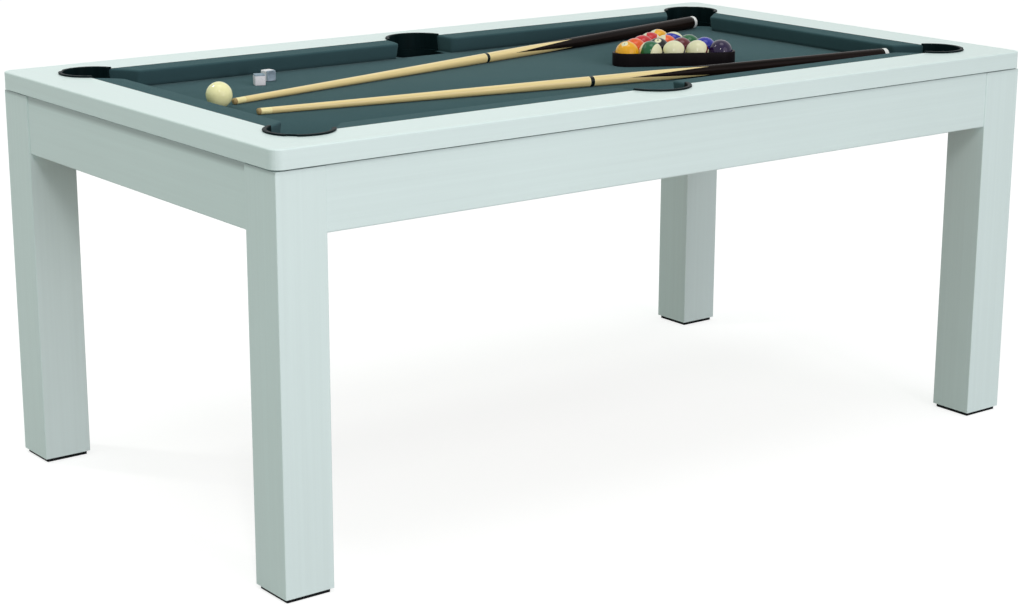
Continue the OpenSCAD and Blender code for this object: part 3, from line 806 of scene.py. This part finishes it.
def turned(name, outline, edges=()):
    """Lathe along X. edges are the places along the cue where the next material starts."""
    angles = [360 * i / CUE_STEPS for i in range(CUE_STEPS)]
    rings = [ring_at(s, r, angles) for s, r in outline]

    def material_of(i, _):
        middle = (outline[i][0] + outline[i + 1][0]) / 2
        return sum(middle > edge for edge in edges)

    return loft(name, rings, material_of)


def ferrule_outline():
    """Ferrule from the tip to the shaft, with a chamfer at each end."""
    full_to = SHAFT_FROM - CHAMFER_L
    end = [(full_to, shaft_r(full_to)), (SHAFT_FROM, shaft_r(SHAFT_FROM) - SHAFT_CHAMFER)]
    return [(7, 6.0), (7.3, 6.2), (14, 6.22)] + end


def shaft_outline():
    """Shaft from the ferrule to the joint, with both ends chamfered."""
    full_from, end = SHAFT_FROM + SHAFT_CHAMFER_L, JOINT_AT - JOINT_GAP
    stops = [full_from + (RING_FROM - full_from) * i / SHAFT_RINGS for i in range(SHAFT_RINGS + 1)]
    stops += [COLLAR_FROM, JOINT_AT - CHAMFER_L]
    start = (SHAFT_FROM, shaft_r(SHAFT_FROM) - SHAFT_CHAMFER)
    return [start] + [(s, shaft_r(s)) for s in stops] + [(end, shaft_r(end) - CHAMFER)]


def splice_angles(s):
    """Angles of a ring's points, and so of the edges between black and maple, at s along the cue."""
    share = (s - SPLICE_FROM) / (SPLICE_TO - SPLICE_FROM)
    black = 45 * min(1 - SPLICE_LEAST, max(SPLICE_LEAST, share))
    maple = 90 - 2 * black
    angles = []
    for quarter in range(4):
        middle = SPLICE_TURN + 90 * quarter
        angles += [middle - black + 2 * black * i / BLACK_STEPS for i in range(BLACK_STEPS)]
        angles += [middle + black + maple * i / MAPLE_STEPS for i in range(MAPLE_STEPS)]
    return angles


def make_butt(name):
    """Butt with four maple points that run into the black."""
    start = JOINT_AT + JOINT_GAP
    stops = [start, JOINT_AT + CHAMFER_L, COLLAR_TO, RING_TO, *MAPLE_STOPS]
    stops += [SPLICE_FROM + (SPLICE_TO - SPLICE_FROM) * i / SPLICE_RINGS for i in range(SPLICE_RINGS + 1)]
    stops += [*BLACK_STOPS, BUTT_END - CHAMFER_L, BUTT_END]
    rings = []
    for s in stops:
        chamfer = CHAMFER if s in (start, BUTT_END) else 0
        rings.append(ring_at(s, butt_r(s) - chamfer, splice_angles(s)))
    maple, black, collar, pale_ring = range(4)

    def material_of(i, j):
        middle = (stops[i] + stops[i + 1]) / 2
        if middle < RING_TO:
            return collar if middle < COLLAR_TO else pale_ring
        in_black = j % (BLACK_STEPS + MAPLE_STEPS) < BLACK_STEPS
        return black if middle > SPLICE_TO or middle > SPLICE_FROM and in_black else maple

    return loft(name, rings, material_of)


def make_cues():
    coat = {"Coat_Weight": 0.3, "Coat_Roughness": 0.12}
    maple = wood("maple", MAPLE, 0, rings=60, contrast=0.16, roughness=0.28, Specular_IOR_Level=0.4, **coat)
    black = lacquer()
    collar = polished(
        "collar_plastic", BLACK_PLASTIC, 0.2, clouds=80, low=0.8, high=1.2, Specular_IOR_Level=0.2
    )
    ivory = polished("ferrule_plastic", IVORY, 0.25, clouds=60)
    white_ring = polished("ring_plastic", RING_WHITE, 0.25, clouds=60)
    rubber = moulded("bumper_rubber", RUBBER, 0.65, streak=0.3)
    tip_leather = leather()
    tip_pad = polished("tip_pad", TIP_PAD, 0.5, clouds=90)
    for cue in CUES:
        front = cue + "_front"
        tip = turned(cue + "_leather", TIP_OUTLINE, [TIP_PAD_FROM])
        ferrule = turned(cue + "_collar", ferrule_outline())
        shaft = turned(cue + "_upper", shaft_outline(), [RING_FROM, COLLAR_FROM])
        butt = make_butt(cue + "_lower")
        bumper = turned(cue + "_end", BUMPER_OUTLINE, [WHITE_RING_FROM, WHITE_RING_TO])
        for mesh, body, slot, node, materials in (
            (tip, front, "tip_leather", "_tip", [tip_leather, tip_pad]),
            (ferrule, front, "ferrule_plastic", "_ferrule", [ivory]),
            (shaft, front, "maple", "_shaft", [maple, ivory, collar]),
            (butt, cue, "butt_lacquer", "_butt", [maple, black, collar, ivory]),
            (bumper, cue, "bumper_rubber", "_bumper", [black, white_ring, rubber]),
        ):
            add_piece(mesh, body, slot, cue + node, materials, cue_matrix(cue))


# Balls and rack

BALL_LOW, BALL_HIGH = (corner[2] for corner in box_mm("cue_ball"))
BALL_R = (BALL_HIGH - BALL_LOW) / 2
BALL_Z = BALL_LOW + BALL_R
BALL_STEPS = 64
CUE_BALL_AT = (-699, 56, BALL_Z)
# From the middle of a ball in the rack to the middle of the next
BALL_PITCH = 51.1
ROW_PITCH = BALL_PITCH * math.sqrt(3) / 2
LAST_ROW = 4
# The middle of the row of five in plan, and the rack's turn in degrees
RACK_AT = (360, -46)
RACK_TURN = -30
RACK_LOW, RACK_HIGH = (corner[2] for corner in box_mm("rack"))
# The rack's inner and outer face, from the middles of the corner balls, and the round of its edges
RACK_IN = 26.4
RACK_OUT = 31.4
RACK_EDGE_R = 1.4
RACK_EDGE_STEPS = 3
RACK_CORNER_STEPS = 12
# Half the stripe's width, and the distance of a number spot's rim, as shares of the radius
STRIPE_SHARE = 0.46
SPOT_SHARE = 0.957
# The digits: height, share of it where there are two, longest edge and how often the edges are
# cut to get there, and height and depth of the ink
DIGIT_H = 8.5
TWO_DIGITS = 0.85
DIGIT_EDGE = 1.1
DIGIT_CUTS = 3
INK_UP = 0.04
INK_DOWN = 0.25

# Number, row, place in the row, where the number looks, and where the axis of the stripe
# points, or of the number's upright on a plain ball: azimuth from +X and elevation, in degrees
BALLS = [
    (1, 0, 0, (205, 60), (25, 30)),
    (14, 0, 1, (11, 45), (290, -9)),
    (12, 0, 2, (135, 0), (225, 45)),
    (15, 0, 3, (124, 0), (214, 40)),
    (4, 0, 4, (240, -35), (240, 55)),
    (5, 1, 0, (205, -50), (115, 0)),
    (8, 1, 1, (225, 60), (62, 29)),
    (7, 1, 2, (262, -42), (262, 48)),
    (2, 1, 3, (190, -30), (280, 0)),
    (3, 2, 0, (228, -60), (228, 30)),
    (13, 2, 1, (228, -60), (152, 22)),
    (6, 2, 2, (250, -25), (160, 0)),
    (11, 3, 0, (228, -60), (138, 8)),
    (10, 3, 1, (150, 30), (19, 49)),
    (9, 4, 0, (228, -60), (128, 18)),
]


def direction(azimuth, elevation):
    azimuth, elevation = math.radians(azimuth), math.radians(elevation)
    level = math.cos(elevation)
    return Vector((level * math.cos(azimuth), level * math.sin(azimuth), math.sin(elevation)))


def ball_turn(number_at, axis_at):
    """Turn with local Z on the axis, and local X as near the number's direction as that allows."""
    axis = direction(*axis_at)
    ahead = direction(*number_at)
    ahead = (ahead - axis * ahead.dot(axis)).normalized()
    return Matrix((ahead, axis.cross(ahead), axis)).transposed().to_4x4()


def globe():
    """Points and faces of a ball with its poles on Z."""
    around, rows = BALL_STEPS, BALL_STEPS // 2
    points, faces = [(0, 0, -BALL_R)], []
    for i in range(1, rows):
        latitude = math.pi * (i / rows - 0.5)
        level, up = BALL_R * math.cos(latitude), BALL_R * math.sin(latitude)
        for j in range(around):
            longitude = 2 * math.pi * j / around
            points.append((level * math.cos(longitude), level * math.sin(longitude), up))
    points.append((0, 0, BALL_R))
    last = len(points) - 1
    for j in range(around):
        k = (j + 1) % around
        faces.append((0, 1 + k, 1 + j))
        faces.append((last, last - around + j, last - around + k))
        for i in range(rows - 2):
            a, b = 1 + i * around, 1 + (i + 1) * around
            faces.append((a + j, a + k, b + k, b + j))
    return points, faces


def flat_digits(text):
    """Flat mesh of a number round the origin, in millimetres."""
    curve = bpy.data.curves.new("digits", "FONT")
    curve.body = text
    curve.size = DIGIT_H * (1 if len(text) == 1 else TWO_DIGITS)
    curve.align_x, curve.align_y = "CENTER", "CENTER"
    curve.resolution_u = 4
    letter = bpy.data.objects.new("digits", curve)
    bpy.context.collection.objects.link(letter)
    bpy.context.view_layer.update()
    evaluated = letter.evaluated_get(bpy.context.evaluated_depsgraph_get())
    flat = bpy.data.meshes.new_from_object(evaluated)
    bpy.data.objects.remove(letter)
    return flat


def number_shells(text):
    """The number on both spots, as thin closed shells on the sphere, in millimetres."""
    shell = bmesh.new()
    shell.from_mesh(flat_digits(text))
    bmesh.ops.remove_doubles(shell, verts=shell.verts, dist=0.001)
    bmesh.ops.triangulate(shell, faces=shell.faces)
    for _ in range(DIGIT_CUTS):
        long_edges = [e for e in shell.edges if e.calc_length() > DIGIT_EDGE]
        if long_edges:
            bmesh.ops.subdivide_edges(shell, edges=long_edges, cuts=1)
            bmesh.ops.triangulate(shell, faces=shell.faces)
    grown = bmesh.ops.extrude_face_region(shell, geom=list(shell.faces), use_keep_orig=True)
    outer = {v for v in grown["geom"] if isinstance(v, bmesh.types.BMVert)}
    shell.verts.index_update()
    points = []
    for v in shell.verts:
        r = BALL_R + INK_UP if v in outer else BALL_R - INK_DOWN
        y, z = v.co.x, v.co.y
        ahead = math.sqrt(BALL_R ** 2 - y * y - z * z)
        points.append(Vector((ahead, y, z)).normalized() * r)
    # Sorted, because the order of the side faces can change from run to run
    faces = sorted(tuple(v.index for v in f.verts) for f in shell.faces)
    shell.free()
    n = len(points)
    both = [tuple(p) for p in points] + [(-p.x, -p.y, p.z) for p in points]
    return both, faces + [tuple(i + n for i in f) for f in faces]


def in_rack(x, y):
    turn = math.radians(RACK_TURN)
    return (
        RACK_AT[0] + x * math.cos(turn) - y * math.sin(turn),
        RACK_AT[1] + x * math.sin(turn) + y * math.cos(turn),
    )


def make_balls():
    ink = polished("ball_ink", INK, 0.12, clouds=90, low=0.8, high=1.2)
    for number, row, place, number_at, axis_at in BALLS:
        x, y = in_rack((place - (LAST_ROW - row) / 2) * BALL_PITCH, row * ROW_PITCH)
        points, faces = globe()
        digits, digit_faces = number_shells(str(number))
        n = len(points)
        shells = faces + [tuple(i + n for i in f) for f in digit_faces]
        chosen = [0] * len(faces) + [1] * len(digit_faces)
        mesh = mesh_of(f"ball_{number}", points + digits, shells, chosen)
        matrix = placed((x, y, BALL_Z), ball_turn(number_at, axis_at))
        kind = "striped" if number > EIGHT else "solid"
        materials = [ball_finish(number), ink]
        add_piece(mesh, "object_balls", kind + "_ball_resin", kind + "_balls", materials, matrix, 60)


def make_cue_ball():
    resin = polished(
        "cue_ball_resin", CUE_BALL_WHITE, 0.08, clouds=45, high=1.04, Specular_IOR_Level=0.25
    )
    mesh = mesh_of("white_ball", *globe())
    add_piece(mesh, "cue_ball", "cue_ball_resin", "cue_ball", [resin], placed(CUE_BALL_AT, Matrix()))


def rack_ring(r, z):
    """Outline at distance r around the three corner balls."""
    half = LAST_ROW / 2 * BALL_PITCH
    points = []
    for i, (x, y) in enumerate([(-half, 0), (half, 0), (0, LAST_ROW * ROW_PITCH)]):
        for k in range(RACK_CORNER_STEPS + 1):
            angle = math.radians(150 + 120 * i + 120 * k / RACK_CORNER_STEPS)
            points.append((*in_rack(x + r * math.cos(angle), y + r * math.sin(angle)), z))
    return points


def make_rack():
    """Triangle with straight walls, round corners and rounded edges."""
    outer, inner = RACK_OUT - RACK_EDGE_R, RACK_IN + RACK_EDGE_R
    low, high = RACK_LOW + RACK_EDGE_R, RACK_HIGH - RACK_EDGE_R
    rings = []
    for r, z, start in ((outer, low, -90), (outer, high, 0), (inner, high, 90), (inner, low, 180)):
        for k in range(RACK_EDGE_STEPS + 1):
            angle = math.radians(start + 90 * k / RACK_EDGE_STEPS)
            rings.append(rack_ring(r + RACK_EDGE_R * math.cos(angle), z + RACK_EDGE_R * math.sin(angle)))
    mesh = loft("triangle_rack", rings, closed=True)
    add_piece(mesh, "rack", "rack_plastic", "rack", [moulded("rack_plastic", RACK_BLACK, 0.35, streak=0.15)])


# Chalk

# Turn about Z and tilt about X of each chalk, in degrees
CHALKS = {"chalk_1": (-20, 0), "chalk_2": (5, 90)}
CHALK_HALF = 11
CHALK_STEPS = 12
PAPER_TOP = 8.2
# From the bottom up: half the width, the radius of the corners, and the height from the middle
CHALK_BODY = [
    (10.3, 1.6, -CHALK_HALF),
    (10.8, 1.9, -10.8),
    (CHALK_HALF, 2, -10.2),
    (CHALK_HALF, 2, PAPER_TOP),
    (10.82, 2, PAPER_TOP + 0.05),
    (10.8, 2, 10),
    (10.55, 2, 10.7),
    (10.1, 2.2, CHALK_HALF),
]
# The paper covers this many steps of the body, from the bottom up
PAPER_STEPS = 3
# The dish, and its rings as shares of its radius
DISH_R = 9.8
DISH_DEPTH = 4
DISH_SHARES = (1, 0.96, 0.85, 0.7, 0.5, 0.3, 0.1)


def soft_square(half, r, z):
    """Ring of a square with round corners, or of a circle where half equals r."""
    points = []
    for quarter in range(4):
        for k in range(CHALK_STEPS):
            angle = math.radians(90 * quarter + 90 * k / (CHALK_STEPS - 1))
            x = (half - r) * (1 if quarter in (0, 3) else -1) + r * math.cos(angle)
            y = (half - r) * (1 if quarter in (0, 1) else -1) + r * math.sin(angle)
            points.append((x, y, z))
    return points


def make_chalks():
    """Chalk cubes with a worn dish on top and paper round their sides."""
    materials = [chalk_finish(), paper_finish()]
    rings = [soft_square(half, r, z) for half, r, z in CHALK_BODY]
    for share in DISH_SHARES:
        r = DISH_R * share
        rings.append(soft_square(r, r, CHALK_HALF - DISH_DEPTH * (1 - share * share)))
    for name, (turn, tilt) in CHALKS.items():
        mesh = loft(name + "_block", rings, lambda step, _: 1 if step < PAPER_STEPS else 0)
        centre = [(low + high) / 2 for low, high in zip(*box_mm(name))]
        about_z = Matrix.Rotation(math.radians(turn), 4, "Z")
        about_x = Matrix.Rotation(math.radians(tilt), 4, "X")
        add_piece(mesh, name, "chalk", name, materials, placed(centre, about_z @ about_x), 50)


# Paint on the CAD nodes that stay in sight

# Reach of the pockets' cut-outs in the rails from the pockets' middles, the greatest slope of a
# face's normal that counts as upright, and the slack for faces on the rails' inner sides
CUT_OUT_REACH = 69
UPRIGHT = 0.3
FACE_SLACK = 1


def paint(node_names, material):
    for name in node_names:
        mesh = nodes[name].data
        mesh.materials.clear()
        mesh.materials.append(material)


def blacken_inside(name, black):
    """Black on a rail's inner face and round the cut-outs, which pockets and cushions cover."""
    rail = nodes[name]
    rail.data.materials.append(black)
    for polygon in rail.data.polygons:
        place = rail.matrix_world @ polygon.center / MM
        x, y = abs(place.x), abs(place.y)
        from_corner = math.hypot(x - HALF_L + CORNER_IN, y - HALF_W + CORNER_IN)
        from_side = math.hypot(x, y - SIDE_CENTRE_Y)
        at_cut_out = min(from_corner, from_side) < CUT_OUT_REACH
        at_inner_face = x < INNER_L + FACE_SLACK and y < INNER_W + FACE_SLACK
        if abs(polygon.normal.z) < UPRIGHT and (at_cut_out or at_inner_face):
            polygon.material_index = 1


def paint_cad():
    white_x, white_y = white_paint(0, APRON_SIDE_SHADOW_BAND), white_paint(1, APRON_SIDE_SHADOW_BAND)
    black = moulded("pocket_plastic", BLACK_PLASTIC, 0.42)
    for side, white in (("front", white_x), ("back", white_x), ("left", white_y), ("right", white_y)):
        paint([side + "_rail", side + "_apron"], white)
        blacken_inside(side + "_rail", black)
    paint(named("leg_front_") + named("leg_back_"), white_paint(2, LEG_SIDE_SHADOW_BAND))
    paint(["front_ledger", "back_ledger"], wood("pine_x", PINE, 0))
    paint(["left_ledger", "right_ledger"] + named("cross_beam_"), wood("pine_y", PINE, 1))
    paint(["leg_blocks"], wood("pine_z", PINE_BLOCK, 2))
    paint(named("pocket_"), black)
    paint(named("foot_"), moulded("foot_plastic", FOOT_BLACK, 0.55))
    paint(named("bed_slab_"), fibreboard())
    paint(["leg_bolts", "rail_bolts"], metal("bolt_steel", STEEL, 0.32))
    paint(["rail_inserts"], metal("insert_brass", BRASS, 0.3))


# Camera, stage and light


def make_camera():
    yaw, roll = math.radians(CAMERA_YAW), math.radians(CAMERA_ROLL)
    forward = direction(90 - CAMERA_YAW, -CAMERA_PITCH)
    level_right = Vector((math.cos(yaw), -math.sin(yaw), 0))
    level_up = level_right.cross(forward)
    right = level_right * math.cos(roll) + level_up * math.sin(roll)
    up = -level_right * math.sin(roll) + level_up * math.cos(roll)
    data = bpy.data.cameras.new("camera")
    data.lens = CAMERA_LENS
    data.sensor_width = CAMERA_SENSOR
    data.clip_end = CAMERA_REACH
    camera = bpy.data.objects.new("camera", data)
    turn = Matrix((right, up, -forward)).transposed().to_4x4()
    camera.matrix_world = Matrix.Translation(CAMERA_AT) @ turn
    bpy.context.collection.objects.link(camera)
    bpy.context.scene.camera = camera


def seen_directly(tree):
    """1 for rays from the camera, a reflection or glass, and 0 for rays that carry light."""
    path = tree.nodes.new("ShaderNodeLightPath")
    value = path.outputs["Is Camera Ray"]
    for other in ("Is Glossy Ray", "Is Transmission Ray"):
        larger = tree.nodes.new("ShaderNodeMath")
        larger.operation = "MAXIMUM"
        tree.links.new(value, larger.inputs[0])
        tree.links.new(path.outputs[other], larger.inputs[1])
        value = larger.outputs[0]
    return value


def make_world():
    """Tinted sky that lights the table. Seen directly it is white."""
    world = bpy.data.worlds.new("world")
    bpy.context.scene.world = world
    world.use_nodes = True
    tree = world.node_tree
    tree.nodes.clear()
    output = tree.nodes.new("ShaderNodeOutputWorld")
    mix = tree.nodes.new("ShaderNodeMixShader")
    light = tree.nodes.new("ShaderNodeBackground")
    fill(light, Color=(*SKY_COLOUR, 1), Strength=SKY_STRENGTH)
    seen = tree.nodes.new("ShaderNodeBackground")
    fill(seen, Color=(1, 1, 1, 1), Strength=1.0)
    tree.links.new(seen_directly(tree), mix.inputs["Fac"])
    tree.links.new(light.outputs["Background"], mix.inputs[1])
    tree.links.new(seen.outputs["Background"], mix.inputs[2])
    tree.links.new(mix.outputs["Shader"], output.inputs["Surface"])


def floor_white():
    """Pale grey. Seen directly it also glows, so that it is white but keeps the shadow."""
    material = bpy.data.materials.new("floor_white")
    material.use_nodes = True
    tree = material.node_tree
    tree.nodes.clear()
    output = tree.nodes.new("ShaderNodeOutputMaterial")
    mix = tree.nodes.new("ShaderNodeMixShader")
    both = tree.nodes.new("ShaderNodeAddShader")
    diffuse = tree.nodes.new("ShaderNodeBsdfDiffuse")
    fill(diffuse, Color=(FLOOR_GREY, FLOOR_GREY, FLOOR_GREY, 1))
    glow = tree.nodes.new("ShaderNodeEmission")
    fill(glow, Strength=FLOOR_GLOW)
    tree.links.new(diffuse.outputs["BSDF"], both.inputs[0])
    tree.links.new(glow.outputs["Emission"], both.inputs[1])
    tree.links.new(seen_directly(tree), mix.inputs["Fac"])
    tree.links.new(diffuse.outputs["BSDF"], mix.inputs[1])
    tree.links.new(both.outputs["Shader"], mix.inputs[2])
    tree.links.new(mix.outputs["Shader"], output.inputs["Surface"])
    return material


def make_floor():
    mesh = bpy.data.meshes.new("floor")
    corners = [(FLOOR_REACH * x, FLOOR_REACH * y, 0) for x, y in ((-1, -1), (1, -1), (1, 1), (-1, 1))]
    mesh.from_pydata(corners, [], [(0, 1, 2, 3)])
    mesh.materials.append(floor_white())
    floor = bpy.data.objects.new("floor", mesh)
    bpy.context.collection.objects.link(floor)
    floor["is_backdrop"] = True


def add_lamp(lamp, place, lamp_side):
    """Links a lamp. lamp_side is the direction from what it lights to the lamp."""
    lamp_object = bpy.data.objects.new(lamp.name, lamp)
    lamp_object.location = place
    lamp_object.rotation_euler = Vector(lamp_side).to_track_quat("Z", "Y").to_euler()
    bpy.context.collection.objects.link(lamp_object)


def make_suns():
    for name, lamp_side, colour, strength, angle in SUNS:
        sun = bpy.data.lights.new(name, "SUN")
        sun.energy = strength
        sun.color = colour
        sun.angle = math.radians(angle)
        add_lamp(sun, (0, 0, 0), lamp_side)


def make_strips():
    """Area lamps turned to the playing field. Their power follows from the radiance and the size."""
    width, height = STRIP_SIZE
    for i, place in enumerate(STRIPS):
        strip = bpy.data.lights.new(f"strip_{i}", "AREA")
        strip.shape = "RECTANGLE"
        strip.size, strip.size_y = width, height
        strip.energy = STRIP_RADIANCE * math.pi * width * height
        strip.color = STRIP_COLOUR
        add_lamp(strip, place, Vector(place) - Vector((0, 0, BED_TOP * MM)))


bpy.context.scene.view_settings.view_transform = "Standard"
make_camera()
make_world()
make_floor()
make_suns()
make_strips()
paint_cad()
make_bed_cloth()
make_cushions()
make_cues()
make_rack()
make_balls()
make_cue_ball()
make_chalks()
[[list(corner) for corner in bounds] for bounds in (cad_bounds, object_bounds())]
